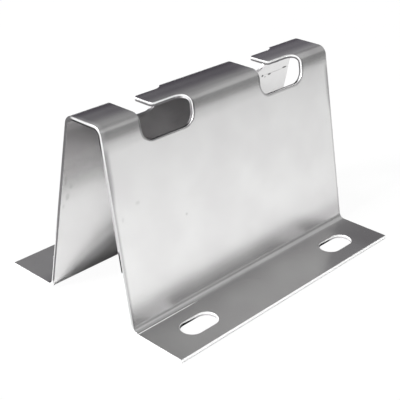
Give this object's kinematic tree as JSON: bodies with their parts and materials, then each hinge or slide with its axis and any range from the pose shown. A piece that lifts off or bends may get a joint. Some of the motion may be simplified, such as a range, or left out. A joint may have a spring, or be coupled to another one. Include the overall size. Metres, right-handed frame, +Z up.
{
  "type": "cable tray support bracket",
  "caption": "Folded sheet-steel stand for a wire-mesh cable tray: a tapered hat section with wire hooks cut in its top edge and slotted feet to bolt down.",
  "frame": {"origin": "middle of the footprint, on the undersides of the two feet", "axes": "+X along the bracket, from the end that the hooks open towards to the end that they close towards; +Z up through the top; +Y from the front foot to the rear foot"},
  "size_m": [0.0974, 0.074, 0.06],
  "materials": {
    "sheet_steel": "satin"
  },
  "bodies": {
    "root": {"support_bracket": "sheet_steel"}
  },
  "joints": []
}
